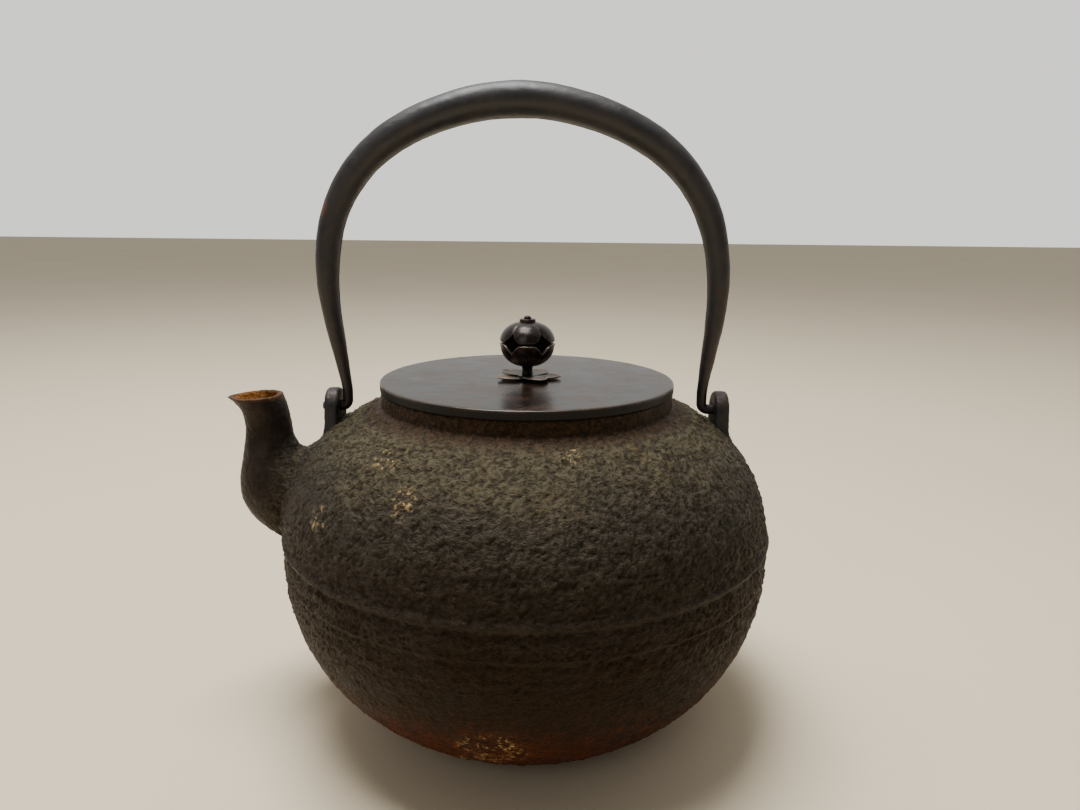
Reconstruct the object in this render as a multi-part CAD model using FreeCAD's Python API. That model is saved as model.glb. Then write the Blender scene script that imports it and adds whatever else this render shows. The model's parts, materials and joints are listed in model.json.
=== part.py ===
import FreeCAD, Part
import math
import os

# Cast iron kettle with a bail handle, a bronze lid and a bud-shaped lid knob.
# Millimetres. Z is up, the origin is the centre of the base, the spout points along -X and the
# plane of the upright bail is XZ.

os.makedirs("parts", exist_ok=True)
Vector = FreeCAD.Vector

# ---- vessel ----
belly_radius = 82.5          # widest radius of the vessel
belly_height = 60.7          # height of the widest place above the base
lower_depth = 69.2           # semi-axis of the lower curve, cut off by the flat base
lower_power = 2.15           # superellipse exponent of the lower curve
upper_depth = 55.0           # semi-axis of the shoulder curve
upper_power = 2.5            # superellipse exponent of the shoulder curve
wall = 3.5                   # cast wall
floor = 4.0                  # thickness of the bottom
collar_radius = 49.3         # outside of the mouth collar
mouth_radius = 45.0          # bore of the mouth
rim_height = 113.9           # top of the collar, where the lid rests
ridge_height = 67.2          # cast bead round the belly
# The casting is one piece; it is divided at these heights into simple rings, base first.
casting_names = ["kettle_base", "kettle_wall_lower", "kettle_wall_upper", "kettle_shoulder"]
casting_levels = [0.0, 21.4, 50.2, 95.6, rim_height]
ridge_radius = 0.9           # section radius of that bead
ridge_sink = 0.2             # how far its middle lies inside the surface
profile_points = 15          # points along each curved outline

# ---- spout ----
spout_wall = 2.7
# Stations from the root to the mouth: the (x, z) places where a section crosses the outer and
# the inner side of the bend, its half width along Y, and how far the pouring lip is drawn out,
# as a share of the half height.
spout_stations = [
    ((-62.0, 53.0), (-62.0, 90.5), 17.0, 0.0),
    ((-81.5, 58.0), (-74.0, 90.6), 15.0, 0.0),
    ((-91.5, 62.8), (-78.0, 90.9), 13.8, 0.0),
    ((-98.4, 70.5), (-79.6, 92.0), 12.2, 0.0),
    ((-100.2, 80.0), (-80.8, 94.2), 10.6, 0.0),
    ((-98.2, 92.0), (-81.6, 97.2), 8.7, 0.0),
    ((-97.2, 99.6), (-81.9, 100.8), 7.6, 0.0),
    ((-98.3, 105.2), (-82.8, 105.6), 7.9, 0.04),
    ((-101.0, 109.6), (-84.6, 110.6), 8.8, 0.28),
]
spout_ring_points = 20       # points round each section
spout_bend_stations = 6      # the stations of the bend; the rest are the upright throat

# ---- lugs that carry the bail ----
pivot_height = 106.6
lug_centre = 66.2            # |x| of the middle of each ear
lug_thickness = 4.8
lug_top_radius = 6.3         # the top is round about the pivot
lug_root_half_width = 8.8    # half length along Y at the shoulder
lug_root_height = 92.0
lug_edge_round = 1.1
pin_radius = 1.7
pin_clearance = 0.1          # radial, pin in its lug hole

# ---- bail ----
bail_shift = -0.7            # the bail sits to the spout side within its end play
bail_lean = -2.0             # sideways lean of the arch at its top
bail_wall = 1.6
bail_width_ratio = 1.15      # section width along Y over section thickness
bail_seam = 0.3              # width of the forged seam along the inner side
elbow_radius = 2.6
pin_reach = 69.6             # |x| of the pin ends, measured from the middle of the bail
# Stations of one half, from the top of the arch to the elbow: |x|, z, section thickness.
bail_stations = [
    (0.0, 207.0, 11.4),
    (22.6, 203.5, 10.9),
    (44.0, 193.4, 10.2),
    (59.8, 174.8, 8.9),
    (65.0, 150.0, 7.5),
    (63.7, 133.0, 5.7),
    (61.9, 120.9, 4.4),
    (60.8, 112.6, 3.6),
]
bail_sections = 16           # lofted sections along each half
bail_hollow_share = 0.74     # share of each half that is hollow, from the top down

# ---- lid ----
lid_radius = 49.6
lid_top = 117.0
lid_centre_thickness = 1.8
lid_edge_round = 0.9
skirt_outer = 44.4
skirt_inner = 42.6
skirt_depth = 6.0            # below the collar's top
under_washer_radius = 4.5
under_washer_thickness = 1.0

# ---- knob ----
knob_pin_radius = 1.2
knob_pin_clearance = 0.08
knob_radius = 9.1
knob_bottom = 121.0
knob_equator = 129.2
knob_top = 136.4
knob_shell = 0.9             # thickness of the petal shells over the core
knob_power = 2.2             # superellipse exponent of the bud's outline
petal_count = 5
shell_seam = 129.5           # height where the calyx and the petals meet
window_half_angle = 19.0     # half angle of each four-cornered window in the shells
window_low = 126.6
window_high = 132.2
window_bow = 0.42            # how far its sides bend in: 0.5 is straight
top_washer_radius = 2.75
top_washer_low = 135.9
top_washer_high = 137.2
pin_top = 138.3
stem_radius = 1.75
axial_play = 0.12            # end play of the knob between its two seats
peened_radius = 2.5
peened_height = 1.0
rosette_radius = 11.6
rosette_leaf_half_width = 3.6
rosette_leaf_root = 1.0      # the leaves start this far from the axis
rosette_leaf_thickness = 0.7
rosette_hub_radius = 3.2
rosette_hub_height = 1.0
rosette_rise = 7.0           # degrees that each leaf tips up
rosette_turn = 60.0          # degrees from +X to the first leaf

overrun = 3.0                # cutting tools run past what they cut by this much
tolerance = 0.01             # for picking out edges by their extent

# ---- derived ----
pin_hole_radius = knob_pin_radius + knob_pin_clearance
ceiling_height = lid_top - lid_centre_thickness   # underside of the lid


def revolve(wire):
    """Solid of revolution about Z of a closed wire in the XZ plane."""
    return Part.Face(wire).revolve(Vector(0, 0, 0), Vector(0, 0, 1), 360)


def polygon(points):
    """Closed straight-sided wire through (x, z) points in the XZ plane."""
    corners = [Vector(x, 0, z) for x, z in points]
    return Part.makePolygon(corners + corners[:1])


def tube(inner, outer, low, high):
    """Upright ring about the Z axis."""
    return revolve(polygon([(inner, low), (outer, low), (outer, high), (inner, high)]))


def curve_radius(z, inset):
    """Radius of the vessel's outline at height z, or of a line inset from it."""
    depth, power = (upper_depth, upper_power) if z > belly_height else (lower_depth, lower_power)
    share = min(abs(z - belly_height) / (depth - inset), 1.0)
    return (belly_radius - inset) * (1.0 - share ** power) ** (1.0 / power)


def curve_height(radius, inset):
    """Height at which the shoulder curve has the given radius."""
    share = radius / (belly_radius - inset)
    rise = (upper_depth - inset) * (1.0 - share ** upper_power) ** (1.0 / upper_power)
    return belly_height + rise


def vessel_form(inset, low, neck, top):
    """Filled solid bounded by the vessel's outline and a straight neck."""
    shoulder = curve_height(neck, inset)
    span = shoulder - low
    steps = [i / (profile_points - 1) for i in range(profile_points)]
    heights = [low + span * (1.0 - math.cos(math.pi * s)) / 2.0 for s in steps]
    outline = [Vector(curve_radius(z, inset), 0, z) for z in heights]
    curve = Part.BSplineCurve()
    curve.interpolate(outline)
    side = [outline[-1], Vector(neck, 0, top), Vector(0, 0, top), Vector(0, 0, low), outline[0]]
    edges = [curve.toShape()]
    for start, end in zip(side, side[1:]):
        edges.append(Part.LineSegment(start, end).toShape())
    return revolve(Part.Wire(edges))


def spout_section(station, inset, shift):
    """Closed smooth section of the spout at one station, moved by shift."""
    outer, inner, half_width, lip = station
    outer = Vector(outer[0], 0, outer[1])
    inner = Vector(inner[0], 0, inner[1])
    centre = (outer + inner) * 0.5 + shift
    outward = (outer - inner).normalize()
    half_height = outer.distanceToPoint(inner) / 2.0
    points = []
    for i in range(spout_ring_points):
        turn = 2.0 * math.pi * i / spout_ring_points
        pull = 1.0 + lip * max(0.0, math.cos(turn)) ** 6
        along = (half_height - inset) * math.cos(turn) * pull
        across = (half_width - inset) * math.sin(turn)
        points.append(centre + outward * along + Vector(0, across, 0))
    curve = Part.BSplineCurve()
    even_steps = [i / spout_ring_points for i in range(spout_ring_points + 1)]
    curve.interpolate(points, PeriodicFlag=True, Parameters=even_steps)
    return Part.Wire(curve.toShape())


def spout_form(inset, extension):
    """Spout lofted as a bend and a throat, or its bore extended past the mouth."""
    sections = [spout_section(station, inset, Vector(0, 0, 0)) for station in spout_stations]
    if extension:
        sections.append(spout_section(spout_stations[-1], inset, Vector(0, 0, extension)))
    bend = Part.makeLoft(sections[:spout_bend_stations], True)
    throat = Part.makeLoft(sections[spout_bend_stations - 1:], True)
    return bend.fuse(throat)


def make_vessel_and_spout():
    filled = vessel_form(0.0, 0.0, collar_radius, rim_height)
    bead_radius = curve_radius(ridge_height, 0.0) - ridge_sink
    bead = Part.makeTorus(bead_radius, ridge_radius, Vector(0, 0, ridge_height))
    filled = filled.fuse(bead)
    cavity = vessel_form(wall, floor, mouth_radius, rim_height + overrun)
    bore = spout_form(spout_wall, overrun)
    body = filled.cut(cavity).cut(bore)
    spout = spout_form(0.0, 0.0).cut(filled).cut(bore)
    rings = {}
    for name, low, high in zip(casting_names, casting_levels, casting_levels[1:]):
        band = Part.makeCylinder(2.0 * belly_radius, high - low, Vector(0, 0, low))
        rings[name] = body.common(band)
    return filled, rings, spout


def make_lug(side, filled):
    """Cast ear on the shoulder; side is -1 over the spout and +1 opposite."""
    top = pivot_height + lug_top_radius
    width = lug_top_radius
    root = lug_root_half_width
    face_x = side * lug_centre - lug_thickness / 2.0
    right = Vector(face_x, width, pivot_height)
    left = Vector(face_x, -width, pivot_height)
    low_left = Vector(face_x, -root, lug_root_height)
    low_right = Vector(face_x, root, lug_root_height)
    outline = Part.Wire([
        Part.Arc(left, Vector(face_x, 0, top), right).toShape(),
        Part.LineSegment(right, low_right).toShape(),
        Part.LineSegment(low_right, low_left).toShape(),
        Part.LineSegment(low_left, left).toShape(),
    ])
    plate = Part.Face(outline).extrude(Vector(lug_thickness, 0, 0))
    rounded = []
    for edge in plate.Edges:
        runs_round_a_face = edge.BoundBox.XLength < tolerance
        if runs_round_a_face and edge.BoundBox.ZMax > lug_root_height + tolerance:
            rounded.append(edge)
    plate = plate.makeFillet(lug_edge_round, rounded)
    hole = Part.makeCylinder(pin_radius + pin_clearance, lug_thickness + 2.0 * overrun,
                             Vector(face_x - overrun, 0, pivot_height), Vector(1, 0, 0))
    return plate.cut(hole).cut(filled)


def bail_place(side, x, z):
    """Point of the bail's middle line, with its end play and lean."""
    rise = (z - pivot_height) / (bail_stations[0][1] - pivot_height)
    return Vector(side * x + bail_shift + bail_lean * rise, 0, z)


def bail_frames(side, share):
    """Centre, direction and thickness at even steps along a share of one half, from the top."""
    points = [bail_place(side, x, z) for x, z, _ in bail_stations]
    leg_heading = (points[-1] - points[-2]).normalize()
    line = Part.BSplineCurve()
    line.interpolate(points, InitialTangent=Vector(side, 0, 0), FinalTangent=leg_heading)
    knots = [line.parameter(p) for p in points]
    frames = []
    for i in range(bail_sections + 1):
        at = knots[-1] * share * i / bail_sections
        span = max(k for k in range(len(knots) - 1) if knots[k] <= at or k == 0)
        blend = (at - knots[span]) / (knots[span + 1] - knots[span])
        thickness = bail_stations[span][2] * (1.0 - blend) + bail_stations[span + 1][2] * blend
        frames.append((line.value(at), Vector(*line.tangent(at)[0]), thickness))
    return frames


def ellipse_section(centre, direction, thickness, width):
    """Closed ellipse across a direction in the XZ plane; width, the larger, is along Y."""
    normal = direction.cross(Vector(0, 1, 0)).normalize()
    major = centre + Vector(0, width / 2.0, 0)
    minor = centre + normal * (thickness / 2.0)
    return Part.Wire(Part.Ellipse(major, minor, centre).toShape())


def bail_half(side):
    """One half of the arch with its elbow and pin."""
    frames = bail_frames(side, 1.0)
    sections = []
    for centre, direction, thickness in frames:
        sections.append(ellipse_section(centre, direction, thickness, thickness * bail_width_ratio))
    leg = Part.makeLoft(sections, True)
    foot = frames[-1][0]
    bend_start = Vector(foot.x, 0, pivot_height + elbow_radius)
    taper = Part.makeLoft([
        sections[-1],
        Part.Wire(Part.Circle(bend_start, Vector(0, 0, -1), pin_radius).toShape()),
    ], True)
    bend_centre = bend_start + Vector(side * elbow_radius, 0, 0)
    circle = Part.Face(Part.Wire(Part.Circle(bend_start, Vector(0, 0, -1), pin_radius).toShape()))
    elbow = circle.revolve(bend_centre, Vector(0, -side, 0), 90)
    pin_start = Vector(bend_centre.x, 0, pivot_height)
    length = pin_reach + side * bail_shift - abs(pin_start.x)
    pin = Part.makeCylinder(pin_radius, length, pin_start, Vector(side, 0, 0))
    return leg.fuse([taper, elbow, pin])


def bail_void(side):
    """Space inside the rolled arch, with the seam that opens it along the inner side."""
    hollow = []
    seam = []
    for centre, direction, thickness in bail_frames(side, bail_hollow_share):
        width = thickness * bail_width_ratio
        bore = thickness - 2.0 * bail_wall
        hollow.append(ellipse_section(centre, direction, bore, width - 2.0 * bail_wall))
        inward = direction.cross(Vector(0, 1, 0)).normalize() * -side
        half = Vector(0, bail_seam / 2.0, 0)
        deep = centre + inward * thickness
        seam.append(Part.makePolygon([centre + half, deep + half, deep - half, centre - half,
                                      centre + half]))
    return Part.makeLoft(hollow, True), Part.makeLoft(seam, True)


def make_bail():
    halves = [bail_half(side) for side in (-1, 1)]
    bail = halves[0].fuse(halves[1])
    for side in (-1, 1):
        hollow, seam = bail_void(side)
        bail = bail.cut(hollow).cut(seam)
    return bail.removeSplitter()


def make_lid():
    """Cast lid plate: thick at the rim, thin inside, with a hole for the knob pin."""
    plate = revolve(polygon([
        (pin_hole_radius, ceiling_height), (skirt_outer, ceiling_height),
        (skirt_outer, rim_height), (lid_radius, rim_height),
        (lid_radius, lid_top), (pin_hole_radius, lid_top),
    ]))
    rim_edges = []
    for edge in plate.Edges:
        is_flat = edge.BoundBox.ZLength < tolerance
        if is_flat and edge.Curve.Radius > lid_radius - tolerance:
            rim_edges.append(edge)
    return plate.makeFillet(lid_edge_round, rim_edges)


def knob_form(inset, low, high):
    """Round bud between two heights, inset from its outer surface."""
    points = []
    for i in range(profile_points):
        angle = math.pi * (i / (profile_points - 1) - 0.5)
        rise = knob_top - knob_equator if angle > 0 else knob_equator - knob_bottom
        r = (knob_radius - inset) * max(math.cos(angle), 0.0) ** (2.0 / knob_power)
        z = knob_equator + math.copysign(
            (rise - inset) * abs(math.sin(angle)) ** (2.0 / knob_power), angle)
        points.append(Vector(r, 0, z))
    curve = Part.BSplineCurve()
    curve.interpolate(points)
    wire = Part.Wire([curve.toShape(), Part.LineSegment(points[-1], points[0]).toShape()])
    slab = Part.makeCylinder(2.0 * knob_radius, high - low, Vector(0, 0, low))
    return revolve(wire).common(slab)


def knob_window(index):
    """Radial cutter with four hollow sides, between two neighbouring petals."""
    middle = (window_low + window_high) / 2.0
    half = knob_radius * math.sin(math.radians(window_half_angle))
    corners = [(0.0, window_high), (half, middle), (0.0, window_low), (-half, middle)]
    edges = []
    for i, (y, z) in enumerate(corners):
        next_y, next_z = corners[(i + 1) % 4]
        rise = (z + next_z - 2.0 * middle) * window_bow
        bow = Vector(0, (y + next_y) * window_bow, middle + rise)
        edges.append(Part.Arc(Vector(0, y, z), bow, Vector(0, next_y, next_z)).toShape())
    prism = Part.Face(Part.Wire(edges)).extrude(Vector(2.0 * knob_radius, 0, 0))
    turn = 360.0 * (index + 0.5) / petal_count - 90.0
    prism.rotate(Vector(0, 0, 0), Vector(0, 0, 1), turn)
    return prism


def make_knob():
    """Pieces of the knob, keyed by node name."""
    shaft = tube(0.0, knob_pin_radius, knob_bottom - overrun, knob_top + overrun)
    core = knob_form(knob_shell, knob_bottom, knob_top)
    skin = knob_form(0.0, knob_bottom, knob_top).cut(core)
    lower_space = Part.makeCylinder(2.0 * knob_radius, shell_seam, Vector(0, 0, 0))
    calyx = skin.common(lower_space)
    petals = skin.cut(lower_space)
    for index in range(petal_count):
        window = knob_window(index)
        calyx = calyx.cut(window)
        petals = petals.cut(window)
    top_washer = tube(knob_pin_radius, top_washer_radius, top_washer_low, top_washer_high)
    stem_low = lid_top + rosette_hub_height + axial_play
    stem = tube(knob_pin_radius, stem_radius, stem_low, knob_equator)
    peened_top = ceiling_height - under_washer_thickness - axial_play
    pin = tube(0.0, knob_pin_radius, peened_top, pin_top)
    peened_end = tube(0.0, peened_radius, peened_top - peened_height, peened_top)
    return {
        "knob_core": core.cut(shaft).cut(top_washer),
        "knob_calyx": calyx.cut(shaft),
        "knob_petals": petals.cut(shaft).cut(top_washer),
        "knob_top_washer": top_washer,
        "knob_stem": stem.cut(knob_form(0.0, knob_bottom, knob_top)),
        "knob_pin": pin.fuse(peened_end).removeSplitter(),
    }


def make_rosette():
    """Leafed seat under the knob stem."""
    hub = tube(0.0, rosette_hub_radius, lid_top, lid_top + rosette_hub_height)
    tip = Vector(rosette_radius, 0, 0)
    root = Vector(rosette_leaf_root, 0, 0)
    middle = (tip + root) * 0.5
    side = Vector(0, rosette_leaf_half_width, 0)
    leaf_wire = Part.Wire([Part.Arc(root, middle + side, tip).toShape(),
                           Part.Arc(tip, middle - side, root).toShape()])
    leaf = Part.Face(leaf_wire).extrude(Vector(0, 0, rosette_leaf_thickness))
    leaf.rotate(Vector(0, 0, 0), Vector(0, 1, 0), -rosette_rise)
    leaf.translate(Vector(0, 0, lid_top))
    leaves = []
    for index in range(petal_count):
        copy = leaf.copy()
        copy.rotate(Vector(0, 0, 0), Vector(0, 0, 1), 360.0 * index / petal_count + rosette_turn)
        leaves.append(copy)
    hole = tube(0.0, pin_hole_radius, lid_top - overrun, lid_top + overrun)
    return hub.fuse(leaves).cut(hole).removeSplitter()


filled_vessel, shapes, spout = make_vessel_and_spout()
shapes.update({
    "spout": spout,
    "lug_spout_side": make_lug(-1, filled_vessel),
    "lug_back_side": make_lug(1, filled_vessel),
    "bail_handle": make_bail(),
    "lid_plate": make_lid(),
    "lid_skirt": tube(skirt_inner, skirt_outer, rim_height - skirt_depth, ceiling_height),
    "lid_under_washer": tube(pin_hole_radius, under_washer_radius,
                             ceiling_height - under_washer_thickness, ceiling_height),
    "knob_rosette": make_rosette(),
})
shapes.update(make_knob())

for name, shape in shapes.items():
    shape.exportStep("parts/" + name + ".step")
    print(name, "valid" if shape.isValid() else "not valid", len(shape.Solids), "solid",
          round(shape.Volume), "cubic mm")
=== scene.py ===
import itertools
import json
import math

import bmesh
import bpy
import numpy as np
from mathutils import Matrix, Vector
from mathutils.bvhtree import BVHTree


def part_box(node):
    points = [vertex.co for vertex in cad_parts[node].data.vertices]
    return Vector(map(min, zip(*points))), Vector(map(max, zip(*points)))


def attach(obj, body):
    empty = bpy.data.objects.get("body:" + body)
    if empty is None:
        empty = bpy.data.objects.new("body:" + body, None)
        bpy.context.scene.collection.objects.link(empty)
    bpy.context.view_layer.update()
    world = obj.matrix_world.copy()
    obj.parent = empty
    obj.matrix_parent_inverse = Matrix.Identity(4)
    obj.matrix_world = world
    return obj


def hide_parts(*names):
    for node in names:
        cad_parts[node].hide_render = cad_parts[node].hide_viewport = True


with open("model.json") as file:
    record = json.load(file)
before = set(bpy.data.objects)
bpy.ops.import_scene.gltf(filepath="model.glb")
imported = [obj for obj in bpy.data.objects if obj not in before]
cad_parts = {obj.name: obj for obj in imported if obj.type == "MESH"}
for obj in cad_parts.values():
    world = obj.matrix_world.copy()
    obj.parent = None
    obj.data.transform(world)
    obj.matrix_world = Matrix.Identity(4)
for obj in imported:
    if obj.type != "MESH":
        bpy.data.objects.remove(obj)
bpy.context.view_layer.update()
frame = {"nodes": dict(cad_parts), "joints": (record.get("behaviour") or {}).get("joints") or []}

# A cast iron kettle: rough cast vessel and spout, forged bail, bronze lid with a bud-shaped knob.
# Lengths are in millimetres of the object, and mm is one of them in the frame's metres. Only the
# lamps and the floor are given in metres.

rim_height = 113.9            # top of the vessel's collar
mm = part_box("kettle_shoulder")[1].z / rim_height

# ---- vessel ----
belly_radius = 82.5
belly_height = 60.7
lower_depth, lower_power = 69.2, 2.15
upper_depth, upper_power = 55.0, 2.5
casting_nodes = ("kettle_base", "kettle_wall_lower", "kettle_wall_upper", "kettle_shoulder")
wall = 3.5
floor_thickness = 4.0
collar_radius = 49.3
mouth_radius = 45.0
ridge_height = 67.2           # cast bead round the belly
parting_height = 57.6         # the mould's parting line, rough above and smoother below
foot_line_height = 50.2       # faint second line
shoulder_ring_radius = 58.0
shell_columns = 760
shell_spacing = 0.76          # distance between the rows of points on the skins
inside_columns = 220
grain_stretch = np.array((0.88, 0.88, 1.35))    # the cast lumps are wider than they are high

# ---- spout ----
spout_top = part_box("spout")[1].z / mm
lip_squeeze = 0.9             # how much thinner the wall gets at the mouth
lip_depth = 14.0              # how far below the mouth that begins
bore_low, bore_high, bore_side = 45.0, 98.0, 20.0    # the bore meets the vessel within these

# ---- lugs, bail ----
pivot_height = next(j for j in frame["joints"] if j["name"] == "bail_swing")["pos_m"][2] / mm
pin_radius = 1.7
elbow_radius = 2.1
bail_width_ratio = 1.15
bail_low_angle = -7.0         # degrees below level, where the legs end and the elbows begin
bail_sight_height = 120.0     # the arch is measured along rays from the axis at this height
bail_columns = 72
seam_width, seam_depth = 0.28, 0.45

# ---- lid, knob ----
lid_radius = 49.6
lid_top = 117.0
lid_centre_thickness = 1.8
skirt_outer, skirt_inner, skirt_low = 44.4, 42.6, 107.9
pin_hole = 1.3                # radius of the hole for the knob's pin
under_washer_radius, under_washer_thickness = 4.5, 1.0
knob_radius = 9.1
knob_bottom, knob_equator, knob_top = 121.0, 129.2, 136.4
knob_shell = 0.9
knob_power = 2.2
petal_count = 5
shell_seam = 129.5
window_rise = 3.1             # how far each window reaches above and below the seam
window_half_angle = 22.0
knob_turn = -90.0             # azimuth of the middle of the front petal
rosette_radius = 11.6
rosette_half_width = 4.3
rosette_root = 1.8
rosette_directions = (62.0, 137.0, 213.0, 298.0, 352.0)
leaf_thickness = 0.36
hub_radius, hub_height = 3.2, 1.0
pin_radius_in_knob = 1.25
cap_washer_radius, cap_washer_low, cap_washer_high = 2.75, 135.6, 137.2

# ---- camera ----
sensor_width = 36.0
lens = 27.03
camera_place = (4.46, -272.6, 170.0)
camera_pitch = 12.92
camera_roll = 0.6

# ---- studio ----
lamps = (                     # name, place and size in metres, watts
    ("overhead", (-0.15, 0.08, 1.15), 0.55, 21.0),
    ("front_fill", (-0.6, -1.3, 0.9), 0.9, 3.0),
)
lamp_aim = (0.0, 0.0, 0.08)
floor_reach = 6.0
sky_in_front, sky_behind, sky_seen = 0.16, 0.95, 1.35


# ---- numbers and noise ----

# The noise is laid out in a turned frame, so that none of it lines up with the object.
twist = np.array(Matrix.Rotation(0.7, 3, (0.3, 0.5, 0.8)) @ Matrix.Rotation(0.5, 3, "X"))


def ramp(values, low, high):
    """Smooth step from 0 at low to 1 at high."""
    t = np.clip((np.asarray(values, float) - low) / (high - low), 0.0, 1.0)
    return t * t * (3.0 - 2.0 * t)


def bell(values, middle, width):
    """1 at middle, falling to about 0 at a distance of twice width."""
    return np.exp(-((values - middle) / width) ** 2)


def scatter(cells, seed):
    """An even random number from 0 to 1 for each whole-number cell."""
    c = cells.astype(np.int64)
    h = c[:, 0] * 73856093 ^ c[:, 1] * 19349663 ^ c[:, 2] * 83492791 ^ (seed + 11) * 2971215073
    h = (h ^ (h >> 15)) * 2246822519 & 0xFFFFFFFF
    h = (h ^ (h >> 13)) * 3266489917 & 0xFFFFFFFF
    return ((h ^ (h >> 16)) & 0xFFFFFF) / float(0xFFFFFF)


def waves(points, size, seed):
    """Smooth random heights from about -1 to 1, about size apart."""
    scaled = points @ twist / size
    base = np.floor(scaled)
    part = scaled - base
    soft = part * part * part * (part * (part * 6.0 - 15.0) + 10.0)
    total = np.zeros(len(points))
    for corner in itertools.product((0, 1), repeat=3):
        cell = base + np.array(corner)
        share = np.ones(len(points))
        slope = np.zeros(len(points))
        for axis in range(3):
            share = share * (soft[:, axis] if corner[axis] else 1.0 - soft[:, axis])
            lean = 2.0 * scatter(cell, seed + 101 * axis) - 1.0
            slope = slope + lean * (part[:, axis] - corner[axis])
        total += share * slope
    return 1.6 * total


def rough(points, size, octaves, seed):
    """Waves of several sizes, each half as large as the one before."""
    total = np.zeros(len(points))
    share = 1.0
    for octave in range(octaves):
        total += share * waves(points + 17.3 * octave, size / 2 ** octave, seed + octave)
        share *= 0.55
    return total


def wrinkles(points, size, octaves, seed):
    """Sharp creases between rounded swellings, from 0 in a crease to 1."""
    total = np.zeros(len(points))
    share = 1.0
    for octave in range(octaves):
        total += share * np.abs(waves(points + 9.1 * octave, size / 2 ** octave, seed + octave))
        share *= 0.5
    return total


def pebbles(points, size, seed):
    """Rounded lumps about size across, from 0 in the gaps between them to 1."""
    scaled = points / size
    base = np.floor(scaled)
    nearest = np.full(len(points), 9.0)
    second = np.full(len(points), 9.0)
    for corner in itertools.product((-1, 0, 1), repeat=3):
        cell = base + np.array(corner)
        middle = np.stack([cell[:, k] + scatter(cell, seed + 7 * k) for k in range(3)], axis=1)
        away = np.linalg.norm(scaled - middle, axis=1)
        second = np.minimum(second, np.maximum(nearest, away))
        nearest = np.minimum(nearest, away)
    return ramp(second - nearest, 0.0, 0.55)


# ---- meshes ----

def placed(name, data):
    """A new object in the scene."""
    made = bpy.data.objects.new(name, data)
    bpy.context.scene.collection.objects.link(made)
    return made


def piece(name, points, faces, body, material, stands_for=(), marks=None):
    """A named smooth mesh from points in millimetres; marks are numbers kept at each point."""
    mesh = bpy.data.meshes.new(name)
    mesh.from_pydata((np.asarray(points) * mm).tolist(), [], faces)
    for mark, values in (marks or {}).items():
        mesh.attributes.new(mark, "FLOAT", "POINT").data.foreach_set(
            "value", np.asarray(values, np.float32))
    work = bmesh.new()
    work.from_mesh(mesh)
    bmesh.ops.remove_doubles(work, verts=work.verts, dist=0.0005 * mm)
    loose = [v for v in work.verts if not v.link_faces]
    bmesh.ops.delete(work, geom=loose, context="VERTS")
    work.to_mesh(mesh)
    work.free()
    mesh.shade_smooth()
    mesh.materials.append(material)
    made = placed(name, mesh)
    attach(made, body)
    if stands_for:
        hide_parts(*stands_for)


def grid_faces(rows, columns, closed_rows=False):
    """Four-sided faces of a grid whose columns go all the way round."""
    faces = []
    for i in range(rows if closed_rows else rows - 1):
        low, high = i * columns, (i + 1) % rows * columns
        for j in range(columns):
            k = (j + 1) % columns
            faces.append((low + j, low + k, high + k, high + j))
    return faces


def fill_in(path, spacing):
    """The path with points added, so that none are further apart than spacing."""
    points = [path[0]]
    for start, end in zip(path, path[1:]):
        steps = max(1, math.ceil(math.dist(start, end) / spacing))
        for i in range(1, steps + 1):
            points.append(tuple(a + (b - a) * i / steps for a, b in zip(start, end)))
    return points


def even_path(path, spacing):
    """Points at even distances along a path."""
    line = np.array(path, float)
    along = np.concatenate([[0.0], np.cumsum(np.linalg.norm(np.diff(line, axis=0), axis=1))])
    count = max(2, round(along[-1] / spacing) + 1)
    at = np.linspace(0.0, along[-1], count)
    return np.stack([np.interp(at, along, line[:, k]) for k in range(line.shape[1])], axis=1)


def round_corners(corners, radius, steps=4):
    """Closed outline with its corners turned into small curves."""
    rounded = []
    count = len(corners)
    for i in range(count):
        before, here, after = (np.array(corners[(i + k) % count], float) for k in (-1, 0, 1))
        back, on = before - here, after - here
        reach = min(radius, 0.45 * np.linalg.norm(back), 0.45 * np.linalg.norm(on))
        start = here + back / np.linalg.norm(back) * reach
        end = here + on / np.linalg.norm(on) * reach
        for k in range(steps + 1):
            t = k / steps
            rounded.append(tuple((1 - t) ** 2 * start + 2 * t * (1 - t) * here + t * t * end))
    return rounded


def headings(line):
    """Direction of a path at each of its points."""
    run = np.gradient(line, axis=0)
    return run / np.maximum(np.linalg.norm(run, axis=1), 1e-9)[:, None]


def turned_points(path, columns):
    """Grid of points of a path turned round Z, and the outward normal at each."""
    line = np.array(path, float)
    run = headings(line)
    across = np.stack([run[:, 1], -run[:, 0]], axis=1)
    angles = np.arange(columns) * 2.0 * math.pi / columns
    cosine, sine = np.cos(angles), np.sin(angles)

    def spread(pairs):
        return np.stack([
            np.outer(pairs[:, 0], cosine).ravel(), np.outer(pairs[:, 0], sine).ravel(),
            np.repeat(pairs[:, 1], columns)], axis=1)
    return spread(line), spread(across)


def turned(name, path, columns, body, material, stands_for=(), closed=True, worn=0.0):
    """A turned piece: a closed or open (r, z) path spun about the axis, with slight wear."""
    loop = np.array(list(path) + ([path[0]] if closed else []), float)
    points, normals = turned_points(loop, columns)
    if closed:
        points, normals = points[:-columns], normals[:-columns]
    points = points + normals * (worn * rough(points, 6.0, 3, 1))[:, None]
    faces = grid_faces(len(points) // columns, columns, closed)
    piece(name, points, faces, body, material, stands_for)


def cad_tree(node):
    """Search tree over a CAD node's mesh, in metres."""
    return BVHTree.FromObject(frame["nodes"][node], bpy.context.evaluated_depsgraph_get())


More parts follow.
